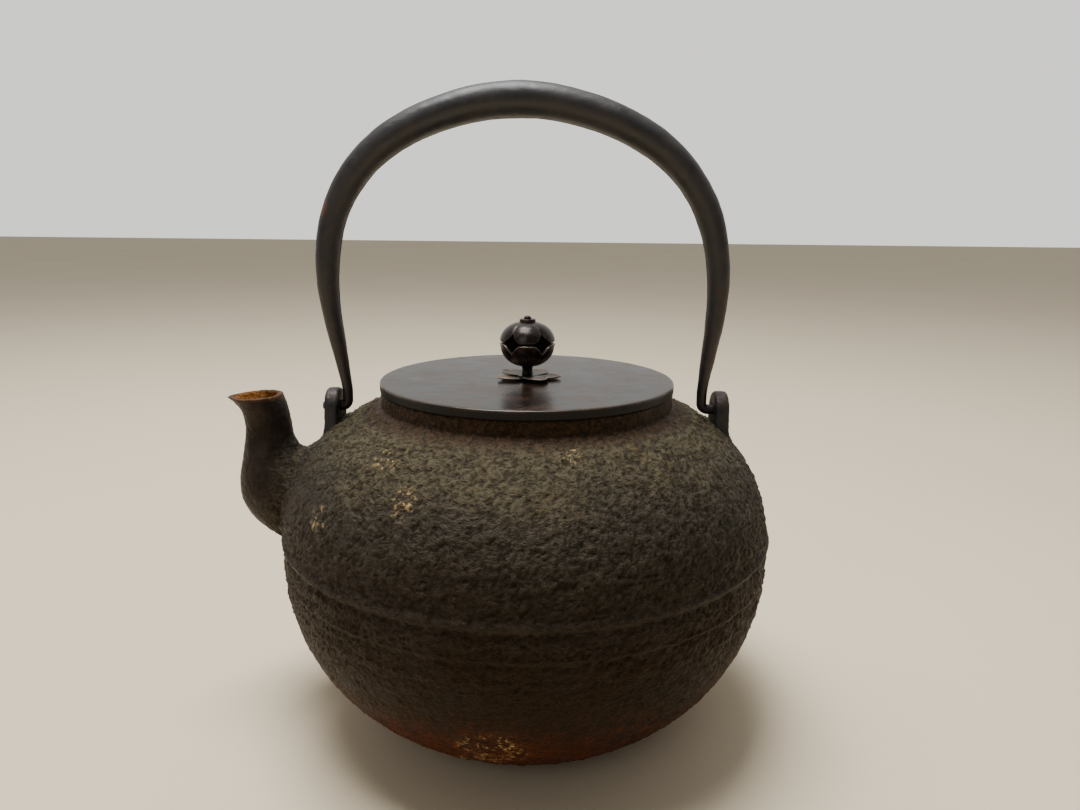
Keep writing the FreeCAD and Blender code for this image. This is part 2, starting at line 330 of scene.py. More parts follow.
def distances(trees, points, limit):
    """Distance in millimetres from each point to the nearest of some CAD meshes, up to limit."""
    found = np.full(len(points), float(limit))
    for tree in trees:
        for i, point in enumerate(points):
            hit = tree.find_nearest(Vector(point) * mm, found[i] * mm)
            if hit[0] is not None:
                found[i] = min(found[i], hit[3] / mm)
    return found


def fine_copy(node, spacing, smoothing):
    """Points, normals and faces of an even mesh over the form of a CAD node."""
    holder = placed("holder", frame["nodes"][node].data.copy())
    remesh = holder.modifiers.new("remesh", "REMESH")
    remesh.mode = "VOXEL"
    remesh.voxel_size = spacing * mm
    smooth = holder.modifiers.new("smooth", "SMOOTH")
    smooth.factor = 0.5
    smooth.iterations = smoothing
    seen = holder.evaluated_get(bpy.context.evaluated_depsgraph_get())
    mesh = bpy.data.meshes.new_from_object(seen)
    count = len(mesh.vertices)
    points, normals = np.zeros((2, count * 3), np.float32)
    mesh.vertices.foreach_get("co", points)
    mesh.vertices.foreach_get("normal", normals)
    faces = [tuple(p.vertices) for p in mesh.polygons]
    bpy.data.objects.remove(holder)
    bpy.data.meshes.remove(mesh)
    return points.reshape(-1, 3).astype(float) / mm, normals.reshape(-1, 3).astype(float), faces


# ---- materials ----

def colour(red, green, blue):
    """A colour given as 0 to 255 on screen, as the shader wants it."""
    parts = []
    for value in (red, green, blue):
        share = value / 255.0
        parts.append(share / 12.92 if share <= 0.04045 else ((share + 0.055) / 1.055) ** 2.4)
    return (*parts, 1.0)


def filled(node, values):
    """The first output of a node, with constants or links put on its sockets."""
    for socket, value in values.items():
        if isinstance(value, bpy.types.NodeSocket):
            node.id_data.links.new(value, node.inputs[socket])
        else:
            node.inputs[socket].default_value = value
    return node.outputs[0]


class Paint:
    """A procedural material, built a node at a time. Sizes are millimetres of the object."""

    def __init__(self, name, metallic=0.0, roughness=0.6, specular=0.5, tint=(255, 255, 255)):
        self.material = bpy.data.materials.new(name)
        self.material.use_nodes = True
        self.nodes = self.material.node_tree.nodes
        self.shader = self.nodes["Principled BSDF"]
        filled(self.shader, {"Metallic": metallic, "Roughness": roughness,
                             "Specular IOR Level": specular, "Specular Tint": colour(*tint)})
        seen = self.nodes.new("ShaderNodeTexCoord")
        self.place = self.scaled(seen.outputs["Object"], (1.0 / mm,) * 3)
        parts = self.nodes.new("ShaderNodeSeparateXYZ")
        filled(parts, {0: self.place})
        self.y, self.z = parts.outputs["Y"], parts.outputs["Z"]

    def scaled(self, vector, factors):
        node = self.nodes.new("ShaderNodeVectorMath")
        node.operation = "MULTIPLY"
        return filled(node, {0: vector, 1: factors})

    def noise(self, size, detail=3.0, roughness=0.55, warp=0.0, stretch=(1.0, 1.0, 1.0)):
        """Noise whose largest features are about size across."""
        node = self.nodes.new("ShaderNodeTexNoise")
        return filled(node, {"Vector": self.scaled(self.place, stretch), "Scale": 1.0 / size,
                             "Detail": detail, "Roughness": roughness, "Distortion": warp})

    def mark(self, name):
        """A number that the mesh keeps at each point."""
        node = self.nodes.new("ShaderNodeAttribute")
        node.attribute_name = name
        return node.outputs["Fac"]

    def level(self, value, low, high, start=0.0, end=1.0):
        """value brought from low..high to start..end, smoothly."""
        node = self.nodes.new("ShaderNodeMapRange")
        node.interpolation_type = "SMOOTHSTEP"
        return filled(node, {"Value": value, "From Min": low, "From Max": high,
                             "To Min": start, "To Max": end})

    def sum(self, kind, first, second):
        """Two numbers brought together by the kind of sum that is named."""
        node = self.nodes.new("ShaderNodeMath")
        node.operation = kind
        return filled(node, {0: first, 1: second})

    def both(self, first, second):
        return self.sum("MULTIPLY", first, second)

    def about_middle(self, value, factor):
        """A noise's distance from its middle value, times a factor."""
        return self.both(self.sum("SUBTRACT", value, 0.5), factor)

    def near(self, centre, radius):
        """1 at a point of the object, falling to 0 at radius from it."""
        node = self.nodes.new("ShaderNodeVectorMath")
        node.operation = "DISTANCE"
        filled(node, {0: self.place, 1: centre})
        return self.level(node.outputs["Value"], 0.0, radius, 1.0, 0.0)

    def blend(self, share, *tones):
        """The first of two colours where share is 0, and the second where it is 1."""
        node = self.nodes.new("ShaderNodeMix")
        node.data_type = "RGBA"
        filled(node, {0: share})
        for socket, tone in zip((6, 7), tones):
            filled(node, {socket: colour(*tone) if isinstance(tone, tuple) else tone})
        return node.outputs[2]

    def bump(self, height, depth, under=None):
        """Shading of a relief depth millimetres high, laid over another one."""
        node = self.nodes.new("ShaderNodeBump")
        if under is not None:
            filled(node, {"Normal": under})
        return filled(node, {"Strength": 1.0, "Distance": depth * mm, "Height": height})

    def finish(self, base, roughness=None, normal=None):
        """The material, with these on its shader."""
        given = {"Base Color": base, "Roughness": roughness, "Normal": normal}
        filled(self.shader, {socket: value for socket, value in given.items() if value is not None})
        return self.material


iron_sheen = (255, 228, 190)     # tint of the light that cast iron throws back


def skin_grain(p):
    """The cast skin's fine grain, and how far each point stands out of it."""
    crumb = p.noise(1.25, 3.0, 0.7, 0.2, (0.85, 0.85, 1.3))
    coarse = p.about_middle(p.mark("relief"), 0.8)
    grain = p.about_middle(crumb, 2.6)
    return crumb, p.level(p.sum("ADD", coarse, grain), -0.5, 0.5)


def skin_paint():
    """Cast skin: olive brown on the shoulder, dark brown on the belly, rusty towards the foot. The
    tones are lighter on the shoulder and darker on the lower belly, and darker in the pits and
    lighter on the crests, partly the iron's own colour and partly painted shade and painted
    highlight.
    """
    p = Paint("cast_iron_skin", specular=0.25, tint=iron_sheen)
    relief = p.mark("relief")
    broad = p.noise(28.0, 4.0)
    patch = p.noise(9.0, 5.0, 0.65, 0.4)
    crumb, peak = skin_grain(p)
    fine = p.noise(0.6, 3.0, 0.7)
    high = p.sum("ADD", p.z, p.about_middle(broad, 30.0))
    tones_by_height_and_shade = (                 # heights over which each begins, tones of its pits and crests; lighter above and darker below, and pits darker than crests, partly as painted shade and painted highlight
        (None, None, (34, 10, 1), (90, 35, 4)),
        (15.0, 42.0, (11, 4, 0), (30, 12, 1)),
        (50.0, 66.0, (15, 12, 10), (44, 38, 32)),
        (70.0, 88.0, (20, 18, 15), (60, 56, 49)),
        (88.0, 104.0, (28, 25, 18), (84, 77, 58)),
    )
    base = None
    # dark pits and light crests: partly painted shade and painted highlight
    for low, top, pit, crest in tones_by_height_and_shade:
        tone = p.blend(peak, pit, crest)
        base = tone if base is None else p.blend(p.level(high, low, top), base, tone)
    violet = p.both(p.level(p.noise(17.0, 3.0), 0.5, 0.68), p.level(p.z, 104.0, 84.0))
    base = p.blend(p.both(violet, 0.35), base, (38, 30, 31))
    ochre = p.both(p.both(p.level(patch, 0.56, 0.72), p.level(high, 84.0, 104.0)), peak)
    base = p.blend(p.both(ochre, 0.4), base, (106, 82, 40))
    stain = p.both(p.level(p.noise(6.0, 4.0, 0.7), 0.53, 0.68), p.level(p.z, 38.0, 15.0))
    base = p.blend(p.both(stain, 0.6), base, (98, 38, 7))
    soot = p.both(p.level(p.near((40.0, -58.0, 33.0), 30.0), 0.0, 0.5),
                  p.level(p.noise(4.0, 5.0, 0.7, 0.5), 0.44, 0.56))
    base = p.blend(p.both(soot, 0.9), base, (6, 6, 5))
    rusty = p.blend(p.level(p.noise(1.3, 4.0, 0.7), 0.38, 0.68), (20, 13, 9), (72, 48, 34))
    base = p.blend(p.both(p.level(p.z, 105.6, 108.4), 0.9), base, rusty)
    crust = p.both(p.level(p.noise(1.4, 5.0, 0.75, 0.6), 0.50, 0.58), p.level(relief, 0.4, 0.7))
    crust_spots = (((-8.0, -71.0, 23.0), 16.0), ((-12.0, -62.0, 11.0), 12.0),
                   ((-38.0, -48.0, 101.0), 9.0), ((-31.0, -62.0, 92.0), 9.0),
                   ((12.5, -56.0, 105.5), 6.5), ((-60.0, -52.0, 84.0), 7.5),
                   ((50.0, 52.0, 90.0), 10.0))
    for centre, radius in crust_spots:
        share = p.both(p.level(p.near(centre, radius), 0.1, 0.6), p.level(patch, 0.36, 0.5))
        base = p.blend(p.both(share, crust), base, (188, 158, 106))
    normal = p.bump(crumb, 1.15)
    normal = p.bump(fine, 0.22, normal)
    shine = p.level(p.sum("ADD", fine, p.both(patch, 0.6)), 0.5, 1.0, 0.38, 0.64)
    return p.finish(base, shine, normal)


def spout_paint():
    """Smoother cast iron, nearly black, taking on the skin's grain at the root with darker pits and
    lighter crests, partly painted shade and painted highlight, rusty inside.
    """
    p = Paint("spout_iron", specular=0.16, tint=iron_sheen)
    fine = p.noise(0.7, 4.0, 0.7)
    patch = p.noise(6.0, 5.0, 0.65)
    crumb, peak = skin_grain(p)
    root = p.mark("root")
    base = p.blend(p.level(patch, 0.35, 0.7), (28, 24, 23), (46, 39, 37))
    base = p.blend(p.both(p.level(fine, 0.52, 0.78), 0.5), base, (64, 54, 48))
    # at the root: darker pits and lighter crests, partly painted shade and painted highlight
    base = p.blend(root, base, p.blend(peak, (19, 16, 12), (62, 55, 43)))
    worn = p.both(p.level(p.z, 108.6, 110.2), p.level(patch, 0.30, 0.5))
    lip = p.blend(p.level(fine, 0.35, 0.7), (44, 27, 15), (98, 68, 42))
    base = p.blend(worn, base, lip)
    rust = p.blend(p.level(fine, 0.35, 0.7), (76, 42, 14), (150, 96, 42))
    base = p.blend(p.mark("bore"), base, rust)
    normal = p.bump(p.both(crumb, root), 1.0)
    normal = p.bump(p.noise(1.8, 3.0, 0.6), 0.3, normal)
    normal = p.bump(fine, 0.08, normal)
    shine = p.sum("ADD", p.level(fine, 0.3, 0.7, 0.42, 0.6), p.both(root, 0.12))
    return p.finish(base, shine, normal)


def lug_paint():
    """Cast ears: rusty olive on top, dark grey below."""
    p = Paint("lug_iron", specular=0.45)
    fine = p.noise(0.8, 4.0, 0.7)
    patch = p.noise(5.0, 4.0, 0.6)
    base = p.blend(p.level(patch, 0.35, 0.7), (22, 20, 19), (38, 33, 29))
    rust = p.blend(p.level(fine, 0.35, 0.7), (44, 30, 18), (84, 56, 30))
    share = p.both(p.level(p.z, 107.0, 112.0), p.level(patch, 0.38, 0.6))
    base = p.blend(share, base, rust)
    return p.finish(base, p.level(fine, 0.3, 0.7, 0.4, 0.6), p.bump(fine, 0.1))


def bail_paint():
    """Forged bail: satin charcoal with a purple-brown cast and a few rust spots."""
    p = Paint("forged_iron", specular=0.5)
    fine = p.noise(0.6, 4.0, 0.7)
    patch = p.noise(12.0, 5.0, 0.6)
    streak = p.noise(3.5, 4.0, 0.6, 0.5)
    base = p.blend(p.level(patch, 0.35, 0.7), (25, 23, 24), (40, 36, 35))
    base = p.blend(p.both(p.level(streak, 0.5, 0.75), 0.4), base, (56, 49, 43))
    base = p.blend(p.both(p.level(fine, 0.55, 0.8), 0.4), base, (72, 62, 54))
    legs = p.both(p.level(p.z, 160.0, 122.0), p.level(patch, 0.35, 0.62))
    base = p.blend(p.both(legs, 0.55), base, (52, 34, 26))
    rust = p.noise(3.0, 4.0, 0.7)
    base = p.blend(p.both(p.level(rust, 0.64, 0.74), 0.5), base, (76, 46, 28))
    spot = p.both(p.near((-68.0, -3.5, 173.0), 5.0), p.level(fine, 0.4, 0.55))
    base = p.blend(spot, base, (112, 58, 28))
    base = p.blend(p.mark("seam"), base, (12, 10, 10))
    normal = p.bump(streak, 0.10)
    normal = p.bump(fine, 0.04, normal)
    return p.finish(base, p.level(patch, 0.3, 0.7, 0.42, 0.56), normal)


def lid_paint():
    """Patinated bronze lid: near black, browner in places, with a soft gloss; the rim's side is
    painted near black as painted shade, and the top edge is lighter as a painted highlight.
    """
    p = Paint("lid_bronze", specular=0.3)
    patch = p.noise(13.0, 5.0, 0.65, 0.5)
    fine = p.noise(0.8, 3.0, 0.6)
    base = p.blend(p.level(patch, 0.40, 0.62), (13, 12, 11), (48, 29, 19))
    base = p.blend(p.both(p.level(fine, 0.6, 0.85), 0.3), base, (64, 44, 34))
    # painted shade: the rim's side is turned near black
    side = p.both(p.level(p.z, lid_top - 0.5, lid_top - 1.0), 0.85)
    base = p.blend(side, base, (10, 10, 10))
    # painted highlight: a lighter line along the top edge
    base = p.blend(p.both(p.mark("edge"), 0.4), base, (90, 84, 74))
    shine = p.sum("ADD", p.level(patch, 0.3, 0.7, 0.20, 0.30), p.both(side, 0.4))
    return p.finish(base, shine, p.bump(fine, 0.010))


def leaf_paint():
    """Rosette: dark olive bronze, brown copper inside the leaves and lighter on their rims, which
    are partly rubbed and partly a painted highlight; both are made stronger towards the front as
    painted light.
    """
    p = Paint("rosette_copper", metallic=0.2, specular=0.4)
    fine = p.noise(0.5, 3.0, 0.6)
    patch = p.noise(2.2, 4.0, 0.6)
    base = p.blend(p.level(patch, 0.35, 0.68), (36, 35, 30), (60, 57, 48))
    # copper inside the leaves, made stronger towards the front as painted light
    copper = p.both(p.both(p.mark("inside"), p.level(p.y, 3.0, -2.0, 0.25, 1.0)),
                    p.level(patch, 0.34, 0.56, 0.45, 1.0))
    base = p.blend(copper, base, (144, 106, 78))
    # lighter rims, partly rubbed and partly a painted highlight, stronger towards the front as
    # painted light
    rubbed = p.both(p.mark("edge"), p.level(p.y, 4.0, -1.0, 0.25, 1.0))
    base = p.blend(rubbed, base, (156, 144, 124))
    return p.finish(base, p.level(patch, 0.3, 0.7, 0.3, 0.46), p.bump(fine, 0.02))


def trim_paint(name, dark, light, metallic, roughness, rim, specular=0.5):
    """Small patinated bronze and copper pieces, lighter along the edges that a piece marks, as a
    painted highlight.
    """
    p = Paint(name, metallic=metallic, specular=specular)
    fine = p.noise(0.5, 3.0, 0.6)
    patch = p.noise(2.6, 4.0, 0.6)
    base = p.blend(p.level(patch, 0.35, 0.68), dark, light)
    # painted highlight along marked edges, the rims of the knob's petals and lobes
    base = p.blend(p.mark("edge"), base, rim)
    return p.finish(base, p.level(patch, 0.3, 0.7, roughness - 0.06, roughness + 0.1),
                    p.bump(fine, 0.02))


skin = skin_paint()
spout_iron = spout_paint()
lug_iron = lug_paint()
forged_iron = bail_paint()
lid_bronze = lid_paint()
fitting_copper = trim_paint("copper_fittings", (26, 20, 17), (54, 38, 28), 0.6, 0.34, (110, 84, 62))
leaf_copper = leaf_paint()
knob_bronze = trim_paint("knob_bronze", (34, 29, 28), (60, 48, 43), 0.45, 0.27, (122, 108, 94))
# the knob's core, painted near black as the shade inside the bud's windows
knob_shade_black = trim_paint("knob_dark", (3, 3, 3), (6, 6, 5), 0.0, 0.6, (12, 11, 10), 0.06)


# ---- vessel ----

def outline_radius(z, inset=0.0):
    """Radius of the vessel's outline, or of a line inset from it, at height z."""
    upper = z > belly_height
    depth, power = (upper_depth, upper_power) if upper else (lower_depth, lower_power)
    share = min(abs(z - belly_height) / (depth - inset), 1.0)
    return (belly_radius - inset) * (1.0 - share ** power) ** (1.0 / power)


def shoulder_height(radius, inset=0.0):
    """Height at which the shoulder has the given radius."""
    share = radius / (belly_radius - inset)
    rise = (upper_depth - inset) * (1.0 - share ** upper_power) ** (1.0 / upper_power)
    return belly_height + rise


def outline(low, high, inset=0.0, steps=600):
    """Fine (r, z) path of the vessel's side between two heights."""
    return [(outline_radius(z, inset), z) for z in np.linspace(low, high, steps)]


spout_tree = cad_tree("spout")
lug_trees = [cad_tree("lug_spout_side"), cad_tree("lug_back_side")]
vessel_trees = [cad_tree(node) for node in casting_nodes]


def cast_relief(points):
    """Height of the cast skin over the smooth form, and how near each point is to a peak."""
    z = points[:, 2]
    drift = np.stack([rough(points, 6.0, 2, 60 + k) for k in range(3)], axis=1)
    flat = (points + 0.6 * drift) * grain_stretch
    stones = pebbles(flat, 2.1, 3)
    folds = wrinkles(flat, 1.9, 2, 21)
    swell = rough(points * np.array((0.8, 0.8, 1.3)), 4.6, 2, 35)
    height = 0.34 * stones + 0.92 * np.minimum(folds, 0.75) + 0.30 * swell - 0.47
    peak = np.clip(0.5 + 0.9 * height, 0.0, 1.0)
    strength = 0.55 + 0.45 * ramp(z, 30.0, parting_height + 3.0)
    return height * strength, peak


def cast_lines(points):
    """Height of the beads and lines that run round the vessel, and how much they hide."""
    z = points[:, 2]
    radius = np.hypot(points[:, 0], points[:, 1])
    side = (radius > collar_radius + 2.0).astype(float)
    uneven = 1.0 + 0.18 * rough(points, 9.0, 2, 71)
    shaky = z + 0.18 * waves(points, 14.0, 5)
    bead = bell(shaky, ridge_height, 0.95) - 0.5 * bell(shaky, ridge_height - 2.3, 0.8)
    parting = 0.34 * bell(shaky, parting_height, 0.7) - 0.30 * bell(shaky, parting_height - 1.6, 0.7)
    faint = 0.26 * bell(shaky, foot_line_height, 0.7)
    above = (z > belly_height).astype(float)
    ring = 0.35 * bell(radius, shoulder_ring_radius, 0.9) * above
    hidden = np.maximum(0.8 * bell(shaky, ridge_height - 0.4, 1.4),
                        0.4 * bell(shaky, parting_height, 1.0))
    return side * uneven * (bead + parting + faint + ring), side * hidden


def root_swell(points):
    """Metal drawn up round the roots of the spout and the lugs."""
    swell = np.zeros(len(points))
    by_spout = (points[:, 0] < -55.0) & (np.abs(points[:, 1]) < 30.0) & (points[:, 2] > 40.0)
    index = np.flatnonzero(by_spout)
    away = distances([spout_tree], points[index], 9.0)
    swell[index] += 2.0 * np.exp(-(away / 2.3) ** 1.5) * ramp(away, 9.0, 6.0)
    by_lug = (np.abs(points[:, 0]) > 55.0) & (np.abs(points[:, 1]) < 16.0) & (points[:, 2] > 84.0)
    index = np.flatnonzero(by_lug)
    for tree in lug_trees:
        away = distances([tree], points[index], 5.0)
        swell[index] += 0.9 * np.exp(-(away / 1.3) ** 1.5) * ramp(away, 5.0, 3.0)
    return swell


def keep_outside_bore(points, faces):
    """The faces whose middle lies on the CAD vessel's own surface, not over the spout's bore."""
    kept = []
    for face in faces:
        middle = points[list(face)].mean(axis=0)
        beside = middle[0] < -55.0 and abs(middle[1]) < bore_side
        near_bore = beside and bore_low < middle[2] < bore_high
        if not near_bore or distances(vessel_trees, [middle], 0.9)[0] <= 0.89:
            kept.append(face)
    return kept


def cast_shell(name, path, stands_for):
    """Outer skin of the vessel along a path, with its cast texture, lines and swells."""
    points, normals = turned_points(path, shell_columns)
    height, peak = cast_relief(points)
    radius = np.hypot(points[:, 0], points[:, 1])
    z = points[:, 2]
    cast = ramp(radius, collar_radius + 0.3, collar_radius + 3.0)
    cast = np.where(z > belly_height, cast, 1.0)
    cast = cast * np.where(z < 1.5, 0.15 + 0.85 * ramp(radius, 40.0, 46.0), 1.0)
    collar = 0.16 * rough(points, 2.6, 2, 83)
    lines, hidden = cast_lines(points)
    relief = height * cast * (1.0 - hidden)
    relief += collar * (1.0 - cast) * ramp(z, rim_height, rim_height - 0.8)
    relief += lines + root_swell(points)
    relief = np.where(z < 2.5, np.clip(relief, -1.0, z * 0.5), relief)
    faces = keep_outside_bore(points, grid_faces(len(path), shell_columns))
    piece(name, points + normals * relief[:, None], faces, "kettle", skin,
          stands_for, {"relief": peak})


def make_vessel():
    """The two outer skins, which meet at the parting line, and the inside."""
    foot = outline_radius(0.0)
    bottom = fill_in([(0.0, 0.0), (foot - 4.0, 0.0)], 3.0)
    heel = [(foot - 3.0, 0.0), (foot - 1.6, 0.15), (foot - 0.4, 0.6), (foot + 0.8, 1.3)]
    side = even_path(outline(2.2, parting_height), shell_spacing)
    lower = bottom + heel + side.tolist()
    cast_shell("vessel_lower_skin", lower, casting_nodes[:3])

    neck = shoulder_height(collar_radius)
    shoulder = even_path(outline(parting_height, neck, steps=1500), shell_spacing)
    edge, soft = 0.7, 0.2
    rim = [(collar_radius, rim_height - edge), (collar_radius - soft, rim_height - soft),
           (collar_radius - edge, rim_height), (mouth_radius + edge, rim_height),
           (mouth_radius + soft, rim_height - soft), (mouth_radius, rim_height - edge)]
    bore = shoulder_height(mouth_radius, wall)
    collar = fill_in([(collar_radius, neck + 0.6)] + rim + [(mouth_radius, bore)], 0.8)
    cast_shell("vessel_upper_skin", shoulder.tolist() + collar, casting_nodes[2:])

    inner = [(mouth_radius, bore + 0.4)]
    inner += even_path(outline(bore, floor_thickness, wall), 2.2).tolist()
    inner += fill_in([(outline_radius(floor_thickness, wall) - 1.0, floor_thickness),
                      (0.0, floor_thickness)], 3.0)
    points, normals = turned_points(inner, inside_columns)
    wear = 0.25 * rough(points, 6.0, 3, 91)
    faces = keep_outside_bore(points, grid_faces(len(inner), inside_columns))
    piece("vessel_inside", points + normals * wear[:, None], faces, "kettle",
          skin, casting_nodes, {"relief": 0.5 + wear})


def make_bore_wall():
    """The cut edge of the spout's bore through the vessel's wall."""
    mesh = frame["nodes"]["kettle_wall_upper"].data
    corners = np.array([v.co for v in mesh.vertices]) / mm
    faces = []
    for polygon in mesh.polygons:
        x, y, z = corners[list(polygon.vertices)].mean(axis=0)
        if x > -50.0 or abs(y) > bore_side or not bore_low < z < bore_high:
            continue
        radius = math.hypot(x, y)
        inside, outside = outline_radius(z, wall), outline_radius(z)
        if inside + 0.25 < radius < outside - 0.25:
            faces.append(tuple(polygon.vertices))
    piece("spout_bore_edge", corners, faces, "kettle", skin,
          ("kettle_wall_upper",), {"relief": np.full(len(corners), 0.3)})


def thin_lip(points):
    """The spout's points, with its wall squeezed outwards to a thin lip round the mouth."""
    moved = points.copy()
    top = points[:, 2] > spout_top - 4.0
    middle = 0.5 * (points[top, :2].min(axis=0) + points[top, :2].max(axis=0))
    for index in np.flatnonzero(points[:, 2] > spout_top - lip_depth):
        x, y, z = points[index]
        heading = Vector((x - middle[0], y - middle[1], 0.0)).normalized()
        start = (Vector((x, y, min(z, spout_top - 1.0))) + heading * 0.05) * mm
        hit = spout_tree.ray_cast(start, heading, 3.5 * mm)
        if hit[0] is None:
            continue
        share = min(1.0, hit[3] / mm / 2.4) * ramp(z, spout_top - lip_depth, spout_top - 4.0)
        moved[index, :2] += np.array(heading)[:2] * lip_squeeze * share
    return moved


def inside_bore(points, normals):
    """1 at points of the spout's bore, which face another wall across it, fading out below."""
    bore = np.zeros(len(points))
    for i, (point, normal) in enumerate(zip(points, normals)):
        across = Vector((normal[0], normal[1], 0.0))
        if across.length < 0.35:
            continue
        start = (Vector(point) + Vector(normal) * 0.5) * mm
        hit = spout_tree.ray_cast(start, across.normalized(), 26.0 * mm)
        bore[i] = 1.0 if hit[0] is not None else 0.0
    return bore * ramp(points[:, 2], 70.0, 96.0)


def make_spout():
    """The spout, rough like the vessel at its root and smoother above."""
    points, normals, faces = fine_copy("spout", 0.5, 5)
    away = distances(vessel_trees, points, 14.0)
    root = ramp(away, 12.0, 1.0)
    height, peak = cast_relief(points)
    own = 0.13 * rough(points, 5.5, 3, 12) + 0.09 * rough(points, 1.6, 2, 14)
    bore = inside_bore(points, normals)
    swell = 0.8 * np.exp(-(away / 3.0) ** 2) * (1.0 - bore)
    relief = own + (0.8 * height - own) * root * (1.0 - bore) + swell
    shape = thin_lip(points) + normals * relief[:, None]
    piece("spout_cast", shape, faces, "kettle", spout_iron, ("spout",),
          {"root": root, "bore": bore, "relief": peak})


def make_lugs():
    """The two cast ears, with flat faces kept round their pin holes."""
    for name, node, seed in (("lug_cast_spout_side", "lug_spout_side", 5),
                             ("lug_cast_back_side", "lug_back_side", 8)):
        points, normals, faces = fine_copy(node, 0.32, 4)
        near_pin = np.hypot(points[:, 1], points[:, 2] - pivot_height)
        free = ramp(near_pin, 1.9, 3.2)
        relief = (0.12 * rough(points, 4.0, 3, seed) + 0.06 * rough(points, 1.3, 2, seed)) * free
        relief += 0.6 * bell(points[:, 2], 96.5, 3.0) * (points[:, 2] < 102.0)
        piece(name, points + normals * relief[:, None], faces, "kettle",
              lug_iron, (node,))


# ---- bail ----

def measured_arch():
    """Middle line (x, z) and thickness of the arch, measured on the CAD bail along rays."""
    tree = cad_tree("bail_handle")
    beside_seam = 0.4
    line = []
    for angle in np.radians(np.linspace(bail_low_angle, 180.0 - bail_low_angle, 520)):
        heading = Vector((math.cos(angle), 0.0, math.sin(angle)))
        eye = Vector((0.0, beside_seam, bail_sight_height)) * mm
        inner = tree.ray_cast(eye, heading)[0]
        outer = tree.ray_cast(eye + heading * (200.0 * mm), -heading)[0]
        line.append(((inner.x + outer.x) / 2 / mm, (inner.z + outer.z) / 2 / mm,
                     (outer - inner).length / mm, heading.x, heading.z))
    line = np.array(line)
    run = headings(line[:, :2])
    line[:, 2] *= np.abs(run[:, 0] * line[:, 4] - run[:, 1] * line[:, 3])
    return line[:, :3]


def smoothed(values, reach):
    """Running average with its ends held."""
    padded = np.concatenate([np.repeat(values[:1], reach, axis=0), values,
                             np.repeat(values[-1:], reach, axis=0)])
    kernel = np.hanning(2 * reach + 3)[1:-1]
    kernel /= kernel.sum()
    return np.stack([np.convolve(padded[:, k], kernel, "valid") for k in range(values.shape[1])],
                    axis=1)


def bail_line():
    """Middle line and thickness of the whole bail, from one pin tip to the other."""
    arch = even_path(measured_arch(), 0.7)
    inner = smoothed(arch, 6)
    inner[0], inner[-1] = arch[0], arch[-1]
    low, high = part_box("bail_handle")
    legs = []
    for end, tip in ((inner[0], high.x / mm), (inner[-1], low.x / mm)):
        side = 1.0 if tip > 0 else -1.0
        leg = [(tip - side * 0.2, pivot_height, 2.4), (tip - side * 0.6, pivot_height, 3.2)]
        start = end[0] + side * elbow_radius
        for x in np.arange(tip - side * 1.0, start, -side * 0.7):
            leg.append((x, pivot_height, 2 * pin_radius))
        for turn in np.radians(np.arange(0.0, 91.0, 10.0)):
            leg.append((start - side * elbow_radius * math.sin(turn),
                        pivot_height + elbow_radius * (1.0 - math.cos(turn)), 2 * pin_radius))
        legs.append(leg)
    return even_path(legs[0] + inner.tolist() + legs[1][::-1], 0.62)


def make_bail():
    """The bail, swept along its line, with a seam on the inner side of its hollow part."""
    line = bail_line()
    around = bail_columns
    run = headings(line[:, :2])
    outward = np.stack([run[:, 1], -run[:, 0]], axis=1)
    turns = np.arange(around) * 2.0 * math.pi / around
    turns = turns + 0.30 * np.sin(turns)
    hollow = ramp(line[:, 1], 128.0, 142.0)
    points, normals, seam = [], [], []
    for (x, z, thick), (nx, nz), open_share in zip(line, outward, hollow):
        ratio = 1.0 + (bail_width_ratio - 1.0) * min(1.0, max(0.0, (thick - 3.4) / 2.0))
        for turn in turns:
            c, s = math.cos(turn), math.sin(turn)
            points.append((x + nx * c * thick / 2, s * thick * ratio / 2, z + nz * c * thick / 2))
            across = math.hypot(c * ratio, s)
            normals.append((nx * c * ratio / across, s / across, nz * c * ratio / across))
            gap = abs(s * thick * ratio / 2) if c < 0 else 9.0
            seam.append(open_share * math.exp(-(gap / seam_width) ** 2))
    points, normals, seam = np.array(points), np.array(normals), np.array(seam)
    free = ramp(np.repeat(line[:, 2], around), 3.5, 4.6)
    dents = 0.16 * rough(points, 11.0, 2, 31) + 0.05 * rough(points, 3.0, 2, 33)
    relief = dents * free - seam_depth * seam
    points = points + normals * relief[:, None]
    faces = grid_faces(len(line), around)
    for row, first in ((0, True), (len(line) - 1, False)):
        ring = list(range(row * around, (row + 1) * around))
        middle = len(points)
        points = np.vstack([points, points[ring].mean(axis=0)])
        seam = np.append(seam, 0.0)
        for a, b in zip(ring, ring[1:] + ring[:1]):
            faces.append((b, a, middle) if first else (a, b, middle))
    piece("bail_forged", points, faces, "bail", forged_iron, ("bail_handle",),
          {"seam": seam})


# ---- lid ----

